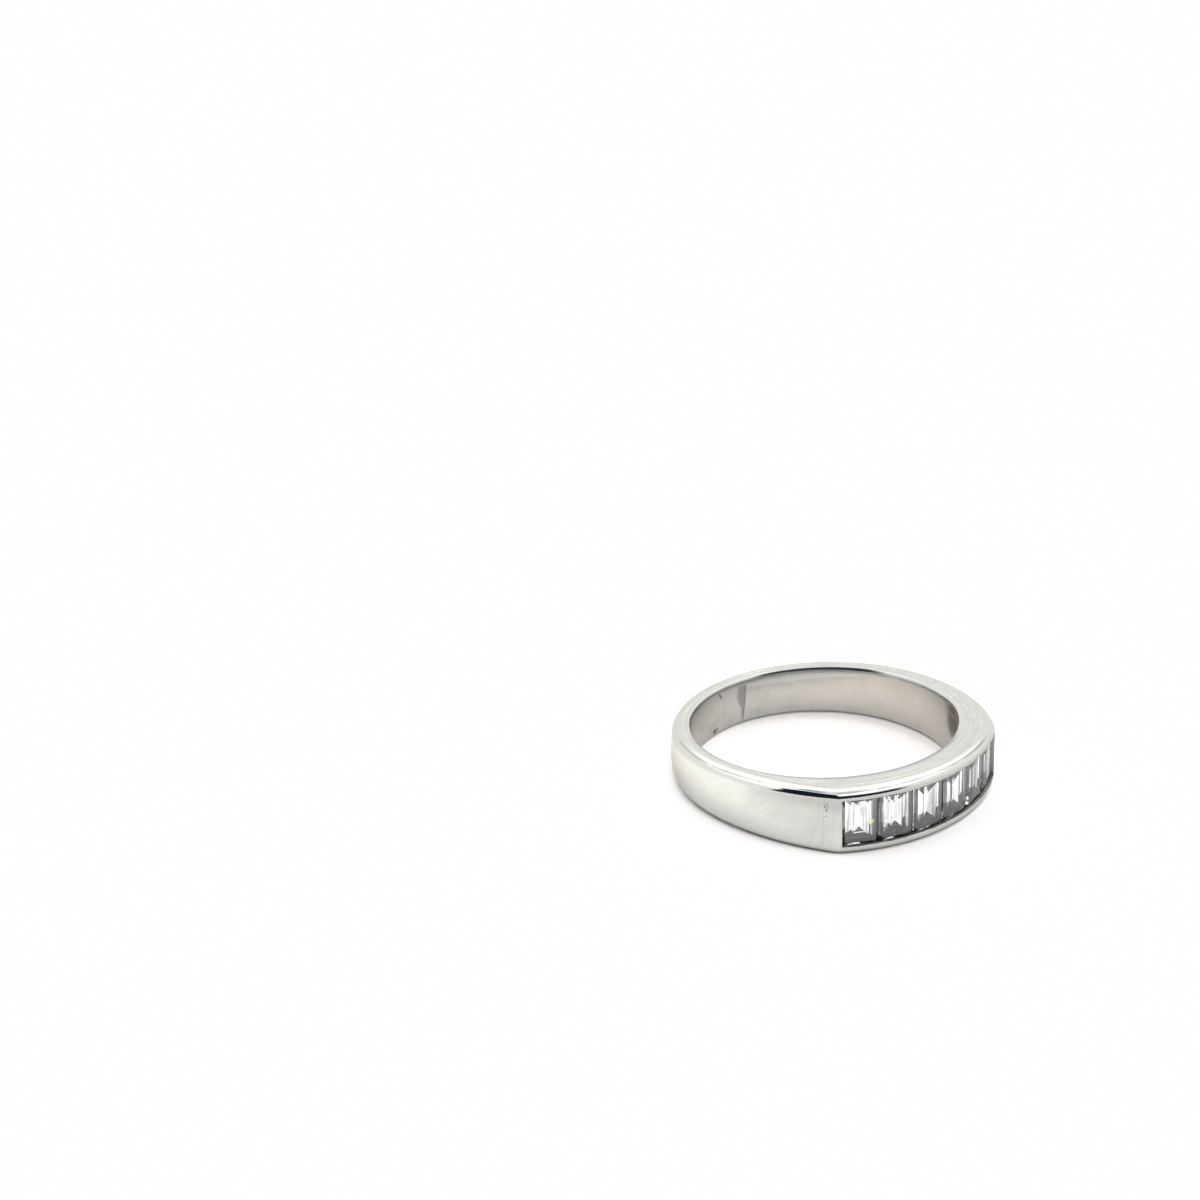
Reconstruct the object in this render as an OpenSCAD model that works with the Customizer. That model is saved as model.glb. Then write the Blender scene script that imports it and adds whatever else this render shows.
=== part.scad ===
// Half eternity ring. Baguette cut stones sit side by side in a channel along the head,
// and the head ends on each side in a sharp shoulder corner.
// The ring lies on its side: its lower side face is on z = 0 and its head points to -Y.
// Lengths are in millimetres. Angles round the bore are measured from the head, and are
// positive toward +X.

/* [Band] */
// Inside diameter
bore_d = 17; // [16.5:0.25:18]
// Width along the bore at the middle of the head
head_w = 4.28; // [4.2:0.02:4.6]
// Width along the bore at the back of the shank
back_w = 3.2; // [3:0.05:3.4]
// Thickness from bore to outside at the middle of the head
head_t = 2.13; // [2.1:0.01:2.2]
// Thickness from bore to outside at the shoulder corners
corner_t = 2.44; // [2.42:0.01:2.5]
// Angle of each shoulder corner from the middle of the head
corner_a = 40.6; // [40:0.1:41.5]
// Thickness of the shank before its edges are rounded
shank_t = 1.55; // [1.5:0.01:1.6]
// How far the outside of the shank is off centre, away from the head
shank_back = 0.06; // [0:0.01:0.1]
// How far the outside of the shank is off centre, toward +X
shank_side = 0.2; // [0:0.01:0.25]
// Radius of the flank between shank and shoulder on the -X side
flank_r_minus = 15.5; // [14.5:0.1:16]
// Radius of the flank between shank and shoulder on the +X side
flank_r_plus = 11.8; // [11.6:0.1:13]

/* [Edges] */
// Rounding of the outer edges along the head
head_edge = 0.38; // [0.3:0.01:0.4]
// Rounding of the outer edges at the back of the shank
back_edge = 0.75; // [0.6:0.01:0.8]
// How far the outside is domed at the back of the shank
back_dome = 0.35; // [0.2:0.01:0.4]
// Chamfer round both ends of the bore
bore_chamfer = 0.18; // [0.1:0.01:0.22]

/* [Channel] */
// Width of the opening between the two rails
mouth_w = 3.04; // [2.9:0.01:3.06]
// How far the opening lies below the middle of the band's width
mouth_drop = 0.06; // [0:0.01:0.08]
// Metal left between the end of the channel and the shoulder corner
end_wall = 0.24; // [0.2:0.01:0.4]
// Depth of the channel's floor under the head's outside
floor_depth = 1.68; // [1.66:0.01:1.75]

/* [Stones] */
// Number of stones
stone_count = 6; // [6:1:6]
// Gap between neighbouring stones at their girdles
stone_gap = 0.05; // [0.04:0.01:0.1]
// Gap between a stone and the metal round it
seat_gap = 0.04; // [0.03:0.01:0.05]
// How far each end of a stone's girdle reaches under its rail
tuck = 0.15; // [0.12:0.01:0.18]
// Depth of the tables under the head's outside
table_drop = 0.2; // [0.18:0.01:0.22]
// Height of the lower crown step
crown_low_h = 0.16; // [0.14:0.01:0.18]
// Height of the upper crown step
crown_high_h = 0.1; // [0.08:0.01:0.12]
// Width of the lower crown step along a stone's sides
side_low_w = 0.18; // [0.16:0.01:0.2]
// Width of the upper crown step along a stone's sides
side_high_w = 0.39; // [0.35:0.01:0.42]
// Width of the lower crown step at a stone's ends
end_low_w = 0.14; // [0.12:0.01:0.16]
// Width of the upper crown step at a stone's ends
end_high_w = 0.16; // [0.14:0.01:0.2]
// Thickness of the girdle
girdle_h = 0.06; // [0.04:0.01:0.08]
// Share of a stone's half width that the pavilion's upper step takes
top_share = 0.28; // [0.24:0.01:0.32]
// Share of a stone's half width that the pavilion's middle step takes
mid_share = 0.46; // [0.42:0.01:0.5]
// Slope of the pavilion's upper step along the sides, as depth over width
side_top_slope = 0.98; // [0.96:0.01:1.04]
// Slope of the pavilion's middle step along the sides
side_mid_slope = 0.93; // [0.9:0.01:0.95]
// Slope of the pavilion's lower step along the sides
side_low_slope = 0.85; // [0.8:0.01:0.88]
// Slope of the pavilion's upper step at the ends
end_top_slope = 1.06; // [1.04:0.01:1.12]
// Slope of the pavilion's middle step at the ends
end_mid_slope = 1.02; // [0.98:0.01:1.03]
// Slope of the pavilion's lower step at the ends
end_low_slope = 0.83; // [0.8:0.01:0.9]

/* [Smoothness] */
// Sections of the loft along the head
head_steps = 26; // [20:2:40]
// Sections of the loft round the shank
shank_steps = 70; // [50:2:90]
// Steps across each rounded edge
edge_steps = 4; // [3:1:5]

/* [Hidden] */

metal = "gainsboro";
gem = "lightcyan";
round_fn = 180;
past = 1;

// Plan of the outside. A plan point is [along the head's direction, toward +X].
bore_r = bore_d / 2;
head_r = bore_r + head_t;
corner_r = bore_r + corner_t;
shank_r = bore_r + shank_t;
shank_c = [-shank_back, shank_side];
bow_half = corner_r * sin(corner_a);
bow_rise = head_r - corner_r * cos(corner_a);
bow_r = (pow(bow_half, 2) + pow(bow_rise, 2)) / (2 * bow_rise);
bow_c = head_r - bow_r;
bow_a = asin(bow_half / bow_r);

function corner(side) = corner_r * [cos(corner_a), side * sin(corner_a)];
function flank_r(side) = side > 0 ? flank_r_plus : flank_r_minus;

// Centre of the flank's arc: it passes through the corner and runs into the shank smoothly
function flank_c(side) =
    let (away = flank_r(side) - shank_r)
    let (span = norm(corner(side) - shank_c))
    let (dir = (corner(side) - shank_c) / span)
    let (along = (pow(away, 2) - pow(flank_r(side), 2) + pow(span, 2)) / (2 * span))
    let (across = sqrt(pow(away, 2) - pow(along, 2)))
    shank_c + along * dir + across * side * [dir.y, -dir.x];

// Angle at which the flank becomes the round shank
function flank_end(side) =
    let (out = shank_c - flank_c(side))
    let (touch = shank_c + shank_r * out / norm(out))
    abs(atan2(touch.y, touch.x));

// Distance from the bore's axis to a circle, at angle a
function reach(centre, radius, a) =
    let (b = centre * [cos(a), sin(a)])
    b + sqrt(pow(radius, 2) - centre * centre + pow(b, 2));

function outer_r(a) =
    let (side = a < 0 ? -1 : 1)
    abs(a) <= corner_a ? reach([bow_c, 0], bow_r, a)
    : abs(a) < flank_end(side) ? reach(flank_c(side), flank_r(side), a)
    : reach(shank_c, shank_r, a);

// Side faces are planes that come together toward the back
side_slope = (head_w - back_w) / 2 / (head_r + shank_r + shank_back);
side_tilt = atan(side_slope);
axis_half_w = head_w / 2 - side_slope * head_r;
function half_w(along) = axis_half_w + side_slope * along;

// Rounding and dome grow from the corners to the back
function backness(a) = max(0, (cos(corner_a) - cos(a)) / (1 + cos(corner_a)));
function edge_r(a) = head_edge + (back_edge - head_edge) * backness(a);
function dome(a) = back_dome * backness(a);

// Half of a section at angle a, from the inside up over the edge, as [radius, height]
inner_r = bore_r - 0.5;
dome_stops = [2 / 3, 1 / 3];
function half_section(a) =
    let (out = outer_r(a), e = edge_r(a), w = half_w(out * cos(a)))
    let (rim = out - dome(a) * pow(1 - e / w, 2) - e)
    concat(
        [[inner_r, half_w(inner_r * cos(a))]],
        [for (i = [0 : edge_steps])
            let (b = 90 * i / edge_steps, r = rim + e * sin(b))
            [r, half_w(r * cos(a)) - e * (1 - cos(b))]],
        [for (part = dome_stops)
            let (t = part * (1 - e / w))
            [out - dome(a) * pow(t, 2), t * w]]
    );
function section(a) =
    let (up = half_section(a), n = len(up), w = half_w(outer_r(a) * cos(a)))
    concat(up, [[outer_r(a), 0]], [for (i = [n - 1 : -1 : 0]) [up[i][0], -up[i][1]]]);
function placed(rz, a) = [rz[0] * sin(a), -rz[0] * cos(a), rz[1]];

stations = concat(
    [for (i = [0 : head_steps]) corner_a * (2 * i / head_steps - 1)],
    [for (i = [1 : shank_steps - 1]) corner_a + (360 - 2 * corner_a) * i / shank_steps]
);
function turned(a) = a > 180 ? a - 360 : a;

// Stones: levels are distances from the bow's centre, halves are half lengths
table_level = bow_r - table_drop;
step_level = table_level - crown_high_h;
girdle_top = step_level - crown_low_h;
girdle_foot = girdle_top - girdle_h;
slot_a = bow_a - asin(end_wall / bow_r);
stone_a = 2 * slot_a / stone_count;
girdle_half_w = girdle_foot * tan(stone_a / 2) - stone_gap / 2;
girdle_half_l = mouth_w / 2 + tuck;
top_step_w = top_share * girdle_half_w;
mid_step_w = mid_share * girdle_half_w;
low_step_w = girdle_half_w - top_step_w - mid_step_w;
top_step_h = side_top_slope * top_step_w;
mid_step_h = side_mid_slope * mid_step_w;
low_step_h = side_low_slope * low_step_w;
top_step_l = top_step_h / end_top_slope;
mid_step_l = mid_step_h / end_mid_slope;
low_step_l = low_step_h / end_low_slope;
top_step_foot = girdle_foot - top_step_h;
mid_step_foot = top_step_foot - mid_step_h;
keel_level = mid_step_foot - low_step_h;

// Levels of a stone from table to keel, as [level, how far its sides are set in from the
// girdle, how far its ends are]
stone_levels = [
    [table_level, side_low_w + side_high_w, end_low_w + end_high_w],
    [step_level, side_low_w, end_low_w],
    [girdle_top, 0, 0],
    [girdle_foot, 0, 0],
    [top_step_foot, top_step_w, top_step_l],
    [mid_step_foot, top_step_w + mid_step_w, top_step_l + mid_step_l],
    [keel_level, girdle_half_w, top_step_l + mid_step_l + low_step_l]
];

// Profile of the channel, as [distance from the bow's centre, half width]
corner_rise = norm([girdle_top, girdle_half_w]) - girdle_top;
groove_half = girdle_half_l + seat_gap;
groove_top = girdle_top + corner_rise;
crown_slope = crown_low_h / end_low_w;
wall_half = groove_half - top_step_l;
channel_half = [
    [bow_r + past, mouth_w / 2],
    [groove_top + crown_slope * (groove_half - mouth_w / 2), mouth_w / 2],
    [groove_top, groove_half],
    [girdle_foot - seat_gap, groove_half],
    [top_step_foot - seat_gap, wall_half],
    [bow_r - floor_depth, wall_half]
];

// Stands the ring on its lower side face, with the origin where the bore's axis meets it
lift = axis_half_w * cos(side_tilt);
module rest() {
    translate([0, lift * tan(side_tilt), lift])
        rotate([-side_tilt, 0, 0])
            children();
}

module loft() {
    rings = [for (a = stations) [for (p = section(turned(a))) placed(p, a)]];
    n = len(rings);
    m = len(rings[0]);
    polyhedron(
        points = [for (ring = rings) each ring],
        faces = [for (i = [0 : n - 1]) for (j = [0 : m - 1])
            let (k = (i + 1) % n, l = (j + 1) % m)
            [i * m + j, i * m + l, k * m + l, k * m + j]],
        convexity = 4
    );
}

module bore() {
    cylinder(r = bore_r, h = 2 * head_w, center = true, $fn = round_fn);
    for (end = [-1, 1])
        mirror([0, 0, end < 0 ? 1 : 0])
            translate([0, 0, axis_half_w])
                rotate([-side_tilt, 0, 0])
                    translate([0, 0, -bore_chamfer - past])
                        cylinder(
                            r1 = bore_r - past,
                            r2 = bore_r + bore_chamfer + past,
                            h = bore_chamfer + 2 * past,
                            $fn = round_fn
                        );
}

module channel() {
    down = [for (i = [len(channel_half) - 1 : -1 : 0]) [channel_half[i][0], -channel_half[i][1]]];
    translate([0, -bow_c, -mouth_drop])
        rotate([0, 0, -90 - slot_a])
            rotate_extrude(angle = 2 * slot_a, $fn = round_fn)
                polygon(concat(channel_half, down));
}

module band() {
    color(metal)
        rest()
            difference() {
                loft();
                bore();
                channel();
            }
}

// A baguette with its table toward -Y. Its last level is the keel, a line with two ends.
module baguette() {
    corners = [[-1, -1], [1, -1], [1, 1], [-1, 1]];
    last = len(stone_levels) - 1;
    keel = 4 * last;
    keel_half_l = girdle_half_l - stone_levels[last][2];
    points = concat(
        [for (i = [0 : last - 1]) for (c = corners)
            [
                (girdle_half_w - stone_levels[i][1]) * c[0],
                -stone_levels[i][0],
                (girdle_half_l - stone_levels[i][2]) * c[1]
            ]],
        [for (end = [-1, 1]) [0, -keel_level, end * keel_half_l]]
    );
    steps = [for (i = [0 : last - 2]) for (j = [0 : 3])
        let (k = (j + 1) % 4)
        [4 * i + j, 4 * i + 4 + j, 4 * i + 4 + k, 4 * i + k]];
    low = 4 * (last - 1);
    keel_faces = [
        [low, keel, low + 1],
        [low + 1, keel, keel + 1, low + 2],
        [low + 2, keel + 1, low + 3],
        [low + 3, keel + 1, keel, low]
    ];
    polyhedron(points = points, faces = concat([[0, 1, 2, 3]], steps, keel_faces));
}

// One stone, counted from the -X end of the row
module stone(number) {
    color(gem)
        rest()
            translate([0, -bow_c, -mouth_drop])
                rotate([0, 0, stone_a * (number - (stone_count + 1) / 2)])
                    baguette();
}

band();
stone(1);  // stone_1
stone(2);  // stone_2
stone(3);  // stone_3
stone(4);  // stone_4
stone(5);  // stone_5
stone(6);  // stone_6
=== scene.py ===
"""Looks of a half eternity ring: a tapered white metal band with six baguette cut stones in a channel.

Shapes are worked out in millimetres, in the band's own frame: bore axis along z, head toward -Y.
Angles go round the bore from the head and are positive toward +X. A plan point is a pair
(along the head's direction, toward +X). In names _A is an angle in radians, _R a radius, _C a centre,
_T a thickness, _W a width and _H a height. What the CAD source has too keeps its name and value.
"""

import functools
import math
from types import SimpleNamespace

import bmesh
import bpy
import numpy as np
from mathutils import Matrix, Vector


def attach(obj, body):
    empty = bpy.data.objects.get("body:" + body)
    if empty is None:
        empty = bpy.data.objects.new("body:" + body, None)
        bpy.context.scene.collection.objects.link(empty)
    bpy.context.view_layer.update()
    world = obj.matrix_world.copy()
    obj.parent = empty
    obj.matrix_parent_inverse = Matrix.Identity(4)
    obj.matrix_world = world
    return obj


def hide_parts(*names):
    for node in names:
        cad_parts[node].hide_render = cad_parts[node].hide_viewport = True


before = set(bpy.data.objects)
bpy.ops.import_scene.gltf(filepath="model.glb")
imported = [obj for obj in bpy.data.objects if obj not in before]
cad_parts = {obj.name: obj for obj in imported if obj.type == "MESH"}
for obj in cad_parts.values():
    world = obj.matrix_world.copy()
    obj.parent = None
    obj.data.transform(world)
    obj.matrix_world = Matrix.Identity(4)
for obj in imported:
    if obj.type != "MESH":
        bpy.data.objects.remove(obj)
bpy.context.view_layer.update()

MM = 0.001

# Band
BORE_R = 8.5
HEAD_W, BACK_W = 4.28, 3.2
HEAD_T, CORNER_T, SHANK_T = 2.13, 2.44, 1.55
CORNER_A = math.radians(40.6)
SHANK_BACK, SHANK_SIDE = 0.06, 0.2
FLANK_R = {-1: 15.5, 1: 11.8}
BACK_DOME = 0.35
# Roundings beside the outside, by side: along the head the upper one is worn wider
HEAD_EDGE = {1: 0.54, -1: 0.38}
BACK_EDGE = 0.75
# Roundings beside the bore, of one width and by side of their height. The upper one is worn down
# round two places, as (angle in degrees, reach in degrees, extra height)
BORE_EDGE_W = 0.22
BORE_EDGE_H = {1: 0.42, -1: 0.3}
BORE_WORN = ((152, 34, 0.45), (58, 11, 0.6))
WALL_BULGE = 0.05

# Channel and stones
MOUTH_W, MOUTH_DROP = 3.04, 0.06
END_WALL = 0.24
FLOOR_DEPTH = 1.68
STONE_COUNT = 6
STONE_GAP, SEAT_GAP, TUCK = 0.05, 0.04, 0.15
TABLE_DROP = 0.2
CROWN_LOW_H, CROWN_HIGH_H, END_LOW_W = 0.16, 0.1, 0.14
GIRDLE_H = 0.06
TOP_SHARE, SIDE_TOP_SLOPE, END_TOP_SLOPE = 0.28, 0.98, 1.06

# Plan of the band's outside
HEAD_R = BORE_R + HEAD_T
CORNER_R = BORE_R + CORNER_T
SHANK_R = BORE_R + SHANK_T
SHANK_C = np.array([-SHANK_BACK, SHANK_SIDE])
BOW_HALF = CORNER_R * math.sin(CORNER_A)
BOW_RISE = HEAD_R - CORNER_R * math.cos(CORNER_A)
BOW_R = (BOW_HALF**2 + BOW_RISE**2) / (2 * BOW_RISE)
BOW_C = np.array([HEAD_R - BOW_R, 0.0])
BOW_A = math.asin(BOW_HALF / BOW_R)
SIDE_SLOPE = (HEAD_W - BACK_W) / 2 / (HEAD_R + SHANK_R + SHANK_BACK)
SIDE_TILT = math.atan(SIDE_SLOPE)
AXIS_HALF_W = HEAD_W / 2 - SIDE_SLOPE * HEAD_R
LIFT = AXIS_HALF_W * math.cos(SIDE_TILT)
REST = Matrix.Translation((0, LIFT * math.tan(SIDE_TILT), LIFT)) @ Matrix.Rotation(-SIDE_TILT, 4, "X")


def facing(angle):
    """Plan direction at an angle."""
    return np.array([math.cos(angle), math.sin(angle)])


def reach(centre, radius, angle):
    """Distance from the bore's axis to a plan circle, at an angle."""
    b = centre @ facing(angle)
    return b + math.sqrt(radius**2 - centre @ centre + b**2)


def corner(side):
    return CORNER_R * facing(side * CORNER_A)


def flank_centre(side):
    """Centre of the flank's arc, which starts at the corner and runs into the shank smoothly."""
    away = FLANK_R[side] - SHANK_R
    span = np.linalg.norm(corner(side) - SHANK_C)
    to_corner = (corner(side) - SHANK_C) / span
    along = (away**2 - FLANK_R[side] ** 2 + span**2) / (2 * span)
    across = math.sqrt(away**2 - along**2)
    return SHANK_C + along * to_corner + across * side * np.array([to_corner[1], -to_corner[0]])


FLANK_C = {side: flank_centre(side) for side in (-1, 1)}


def flank_end(side):
    """Angle at which the flank becomes the round shank."""
    out = SHANK_C - FLANK_C[side]
    touch = SHANK_C + SHANK_R * out / np.linalg.norm(out)
    return abs(math.atan2(touch[1], touch[0]))


FLANK_END = {side: flank_end(side) for side in (-1, 1)}


def half_w(along):
    return AXIS_HALF_W + SIDE_SLOPE * along


def backness(angle):
    """0 along the head, rising to 1 at the back of the shank."""
    return max(0.0, (math.cos(CORNER_A) - math.cos(angle)) / (1 + math.cos(CORNER_A)))


def shank_point(angle):
    """Plan point on the outside behind the corners."""
    side = -1 if angle < 0 else 1
    if abs(angle) < FLANK_END[side]:
        return reach(FLANK_C[side], FLANK_R[side], angle) * facing(angle)
    return reach(SHANK_C, SHANK_R, angle) * facing(angle)


def bow_point(angle):
    """Plan point on the outside of the head, at an angle round the bow's centre."""
    return BOW_C + BOW_R * facing(angle)


def bow_bore(angle):
    """Plan point on the bore, at an angle round the bow's centre."""
    b = -(BOW_C @ facing(angle))
    return BOW_C + (b + math.sqrt(BORE_R**2 - BOW_C @ BOW_C + b**2)) * facing(angle)


# Stations: each pairs a plan point on the outside with one on the bore. The stones' slot ends at
# this angle round the bow's centre
SLOT_A = BOW_A - math.asin(END_WALL / BOW_R)
# The plan's corners are rounded over this distance on either side
CORNER_SOFT = 0.1
# A corner's station meets the bore at another angle than the outside. That fades out round the shank
CORNER_SHIFT = math.atan2(*bow_bore(BOW_A)[::-1]) - CORNER_A
SHIFT_FADE = math.radians(40)
# Solder seams: how far the outer one is behind the -X corner, and the angles of both. The outer one's
# is measured toward -X
SEAM_BACK = 0.93
SEAM_A = CORNER_A + SEAM_BACK / CORNER_R
INNER_SEAM_A = math.radians(173.4)
# Distances between stations along the head and round the shank, and along the head near a corner
HEAD_STEP, SHANK_STEP = 0.14, 0.2
CORNER_REACH, CORNER_STEP = 0.35, 0.025
# Where those of the shank are closer together: at the corners, the seams, the dull patch and the
# nicks, as (angle, radius, reach, step)
FINE_SHANK = (
    (CORNER_A, CORNER_R, 0.2, 0.03),
    (2 * math.pi - CORNER_A, CORNER_R, 0.2, 0.03),
    (2 * math.pi - SEAM_A, CORNER_R, 0.42, 0.022),
    (INNER_SEAM_A, BORE_R, 0.3, 0.025),
    (math.radians(176.5), BORE_R, 0.35, 0.07),
    (math.radians(190), BORE_R, 0.75, 0.04),
)


def turned(angle):
    """The same angle, as at most half a turn to either side."""
    return angle - 2 * math.pi if angle > math.pi else angle


def shank_bore(angle):
    """Plan point on the bore for a shank station: its plane turns with the bow's near a corner."""
    angle = turned(angle)
    side = -1 if angle < 0 else 1
    left = max(0.0, 1 - (abs(angle) - CORNER_A) / SHIFT_FADE)
    return BORE_R * facing(angle + side * CORNER_SHIFT * left**2)


def spread(lowest, highest, step, fine):
    """Places from lowest to highest, about a step apart, or less within each (place, reach, step) of
    fine."""
    places, at = [lowest], lowest
    while at < highest:
        at += min([step] + [fine_step for place, within, fine_step in fine if abs(at - place) < within])
        places.append(at)
    places = np.array(places)
    return lowest + (places - lowest) * (highest - lowest) / (places[-1] - lowest)


def lengths(points):
    """Distance of each point from the first, along the line through them."""
    return np.concatenate([[0], np.cumsum(np.linalg.norm(np.diff(points, axis=0), axis=1))])


def soften(points, where):
    """Rounds the plan at the corner whose number in points is given."""
    place = lengths(points)
    place -= place[where]
    before = np.array([np.interp(-CORNER_SOFT, place, points[:, k]) for k in (0, 1)])
    after = np.array([np.interp(CORNER_SOFT, place, points[:, k]) for k in (0, 1)])
    tip = points[where].copy()
    for i in np.flatnonzero(np.abs(place) < CORNER_SOFT):
        t = (place[i] + CORNER_SOFT) / (2 * CORNER_SOFT)
        points[i] = (1 - t) ** 2 * before + 2 * t * (1 - t) * tip + t**2 * after


def plan_stations():
    """Outer and bore plan points of the stations round the whole band, from the middle of the back on,
    and the numbers of the two at the ends of the stones' slot."""
    corner_fine = (CORNER_REACH / BOW_R, CORNER_STEP / BOW_R)
    bow = spread(-BOW_A, BOW_A, HEAD_STEP / BOW_R, [(-BOW_A, *corner_fine), (BOW_A, *corner_fine)])
    slot_ends = [int(np.abs(bow - end).argmin()) for end in (-SLOT_A, SLOT_A)]
    bow[slot_ends] = (-SLOT_A, SLOT_A)
    rear_fine = [(angle, within / radius, step / radius) for angle, radius, within, step in FINE_SHANK]
    rear = spread(CORNER_A, 2 * math.pi - CORNER_A, SHANK_STEP / SHANK_R, rear_fine)[1:-1]
    outer = [bow_point(a) for a in bow] + [shank_point(turned(a)) for a in rear]
    inner = [bow_bore(a) for a in bow] + [shank_bore(a) for a in rear]
    outer, inner = np.array(outer), np.array(inner)
    # Half way round the back is the start, so that neither corner is at an end of the list
    start = len(bow) + len(rear) // 2
    outer, inner = np.roll(outer, -start, axis=0), np.roll(inner, -start, axis=0)
    first = len(outer) - start
    soften(outer, first)
    soften(outer, first + len(bow) - 1)
    return outer, inner, [first + i for i in slot_ends]


# Stones and channel: levels are distances from the bow's centre
STONE_A = 2 * SLOT_A / STONE_COUNT
TABLE_LEVEL = BOW_R - TABLE_DROP
STEP_LEVEL = TABLE_LEVEL - CROWN_HIGH_H
GIRDLE_TOP = STEP_LEVEL - CROWN_LOW_H
GIRDLE_FOOT = GIRDLE_TOP - GIRDLE_H
GIRDLE_HALF_W = GIRDLE_FOOT * math.tan(STONE_A / 2) - STONE_GAP / 2
GIRDLE_HALF_L = MOUTH_W / 2 + TUCK
TOP_STEP_H = SIDE_TOP_SLOPE * TOP_SHARE * GIRDLE_HALF_W
TOP_STEP_FOOT = GIRDLE_FOOT - TOP_STEP_H
# Rounding of the channel's lip and its steps, and the half width beyond which the profile is uneven
LIP, LIP_STEPS = 0.045, 4
UNEVEN_FROM = 1.2
GROOVE_HALF = GIRDLE_HALF_L + SEAT_GAP
GROOVE_TOP = math.hypot(GIRDLE_TOP, GIRDLE_HALF_W)
WALL_HALF = GROOVE_HALF - TOP_STEP_H / END_TOP_SLOPE
LIP_FOOT = GROOVE_TOP + CROWN_LOW_H / END_LOW_W * (GROOVE_HALF - MOUTH_W / 2)
FLOOR_LEVEL = BOW_R - FLOOR_DEPTH


def channel_half():
    """Half of the channel's profile, from the start of the lip to the middle of the floor, as (level,
    half width)."""
    points = [(BOW_R, MOUTH_W / 2 + LIP)]
    for i in range(1, LIP_STEPS + 1):
        turn = math.pi / 2 * i / LIP_STEPS
        down, narrower = LIP * (1 - math.cos(turn)), LIP * (1 - math.sin(turn))
        points.append((BOW_R - down, MOUTH_W / 2 + narrower))
    # Straight runs after the lip, as (end, number of steps)
    legs = [
        ((LIP_FOOT, MOUTH_W / 2), 3),
        ((GROOVE_TOP, GROOVE_HALF), 1),
        ((GIRDLE_FOOT - SEAT_GAP, GROOVE_HALF), 2),
        ((TOP_STEP_FOOT - SEAT_GAP, WALL_HALF), 3),
        ((FLOOR_LEVEL, WALL_HALF), 3),
        ((FLOOR_LEVEL, 0.0), 4),
    ]
    for end, count in legs:
        start = points[-1]
        for i in range(1, count + 1):
            t = i / count
            points.append((start[0] + t * (end[0] - start[0]), start[1] + t * (end[1] - start[1])))
    return points


HALF = channel_half()
CHANNEL = np.array(
    [(r, z - MOUTH_DROP) for r, z in HALF] + [(r, -z - MOUTH_DROP) for r, z in HALF[-2::-1]]
)
STRIP = len(CHANNEL)

# Steps of a station's profile: along the bore's wall, round its edge, along a side face, round the
# outer edge and along a rail
INNER_STEPS = 30
BORE_EDGE_STEPS = 10
SIDE_STEPS = 22
EDGE_STEPS = 15
RAIL_STEPS = 4

# Polishing left a shallow line along the rounding: its turn from the side face, depth and half width,
# and the turns of more rows across it
LINE_TURN = math.radians(38)
LINE_DEPTH, LINE_HALF = 0.008, math.radians(6)
LINE_TURNS = [LINE_TURN + k * LINE_HALF for k in (-1.6, -1.1, -0.55, 0, 0.55, 1.1, 1.6)]
EDGE_TURNS = sorted([math.pi / 2 * i / EDGE_STEPS for i in range(EDGE_STEPS + 1)] + LINE_TURNS)
# Filing left low ridges along the side face, as (distance from the rounding, height, half width)
RIDGES = ((0.08, 0.020, 0.10), (0.45, 0.014, 0.07), (0.72, 0.008, 0.05), (0.95, 0.010, 0.07))

# Wear on the outside, as (distance along it from the -X corner, height, radius, depth)
PITS = (
    (-0.66, 1.30, 0.034, 0.030),
    (-0.74, 1.22, 0.030, 0.030),
    (-0.82, 1.10, 0.044, 0.045),
    (-0.80, 1.02, 0.030, 0.035),
    (-0.62, 1.08, 0.036, 0.035),
    (-0.66, 0.98, 0.026, 0.030),
    (-0.72, 0.86, 0.048, 0.050),
    (-0.76, 0.44, 0.030, 0.030),
)
# All of it lies between these distances
WORN_OUTSIDE = (-1.4, -0.4)
# The strip's points are drawn together over the pits, as (share of the points, height they lie above),
# within a half width of a middle distance. Beyond it that fades out
PIT_ROWS = ((0.06, 1.42), (0.7, 0.3))
PITS_AT, PITS_HALF, PITS_FADE = -0.75, 0.25, 0.4
# Solder seams: ends of the outer one as (distance, height), then depth, half width and grime of both
SEAM_TOP, SEAM_FOOT = (-0.862, 1.34), (-0.992, -1.73)
SEAM_DEPTH, SEAM_HALF = 0.006, 0.04
SEAM_GRIME, INNER_SEAM_GRIME = 0.12, 0.6
# Wear on the bore's wall, as (angle in degrees, height, radius, depth)
NICKS = (
    (192.7, -1.34, 0.17, 0.10),
    (191.2, -1.25, 0.09, 0.05),
    (188.8, 1.22, 0.075, 0.012),
    (188.3, 1.08, 0.085, 0.014),
    (187.8, 0.93, 0.065, 0.010),
)
# All of it lies between these angles
WORN_INSIDE = (170, 196)
# The bore's seam leans, and a patch beside it is dull: degrees for each mm of height, its width in
# degrees high up and low down, and its foot
INNER_SEAM_LEAN = -0.82
PATCH_W, PATCH_LOW_W = 4.4, 1.2
PATCH_FOOT = -0.7


def edge_of(angle, side):
    """Size of the rounding between a side face and the outside."""
    return HEAD_EDGE[side] + (BACK_EDGE - HEAD_EDGE[side]) * backness(angle)


def blob(away, radius):
    """Smooth bump: 1 at no distance, near 0 at twice the radius."""
    return math.exp(-((away / radius) ** 2))


def rise(value, steepness):
    """Smooth step from 0 to 1 where a value passes 0."""
    return 1 / (1 + math.exp(-steepness * value))


def bore_edge_of(angle, side):
    """Height of the rounding between a side face and the bore."""
    tall = BORE_EDGE_H[side]
    if side == 1:
        for at, within, extra in BORE_WORN:
            tall += extra * blob(math.degrees(angle) % 360 - at, within)
    return tall


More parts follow.
